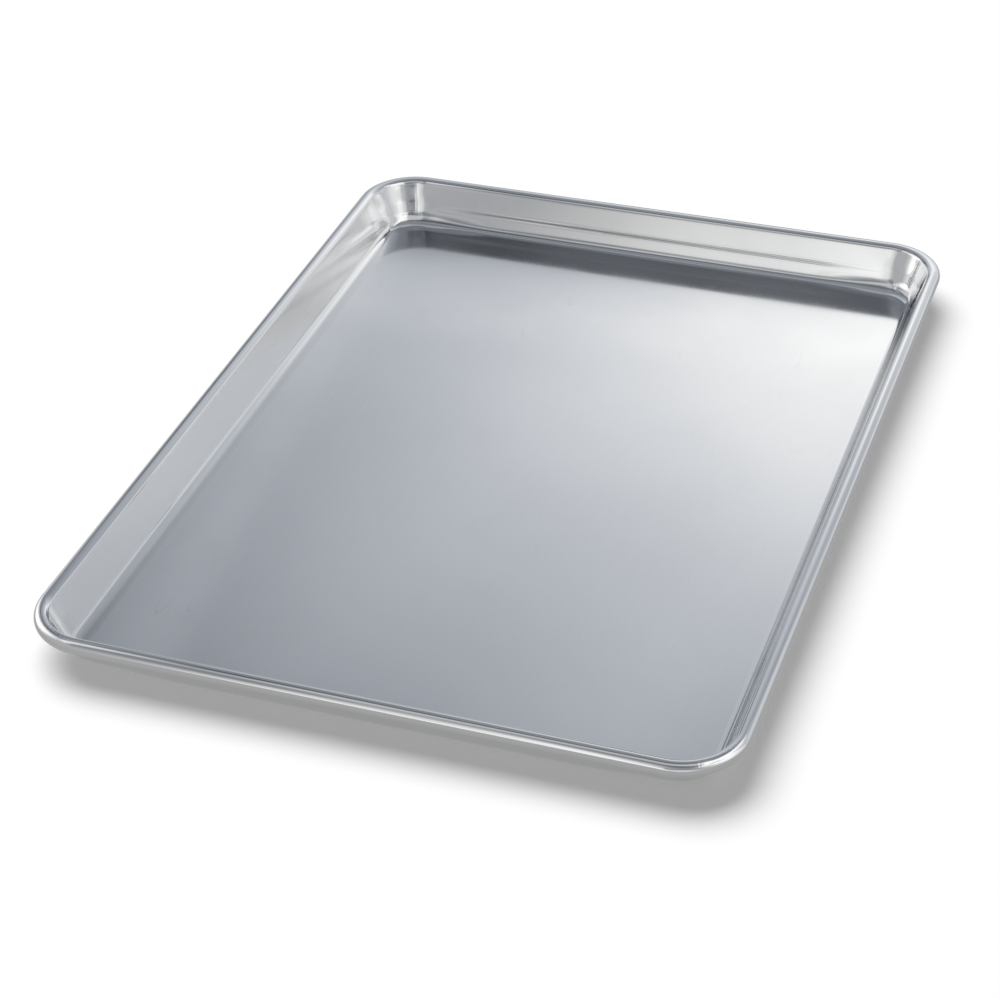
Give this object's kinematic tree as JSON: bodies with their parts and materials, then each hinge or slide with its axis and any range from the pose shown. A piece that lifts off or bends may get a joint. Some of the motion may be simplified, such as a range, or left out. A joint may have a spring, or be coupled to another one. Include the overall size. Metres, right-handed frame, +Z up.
{
  "type": "jelly roll pan",
  "caption": "Shallow rectangular baking tray with a flat floor, leaning walls, round corners and an edge rolled around a steel rod, for thin sheet cakes.",
  "frame": {"origin": "middle of the underside of the floor, on the surface that the pan stands on", "axes": "+X across the pan, +Y along its long sides, +Z up out of the open top"},
  "size_m": [0.326, 0.447, 0.0236],
  "materials": {
    "pan_sheet": "bright rolled sheet, almost a mirror, with a fine grain and faint draw streaks in the corners",
    "rod_steel": "plain drawn wire, dull grey"
  },
  "bodies": {
    "root": {"pan_shell": "pan_sheet", "rim_rod": "rod_steel"}
  },
  "joints": []
}
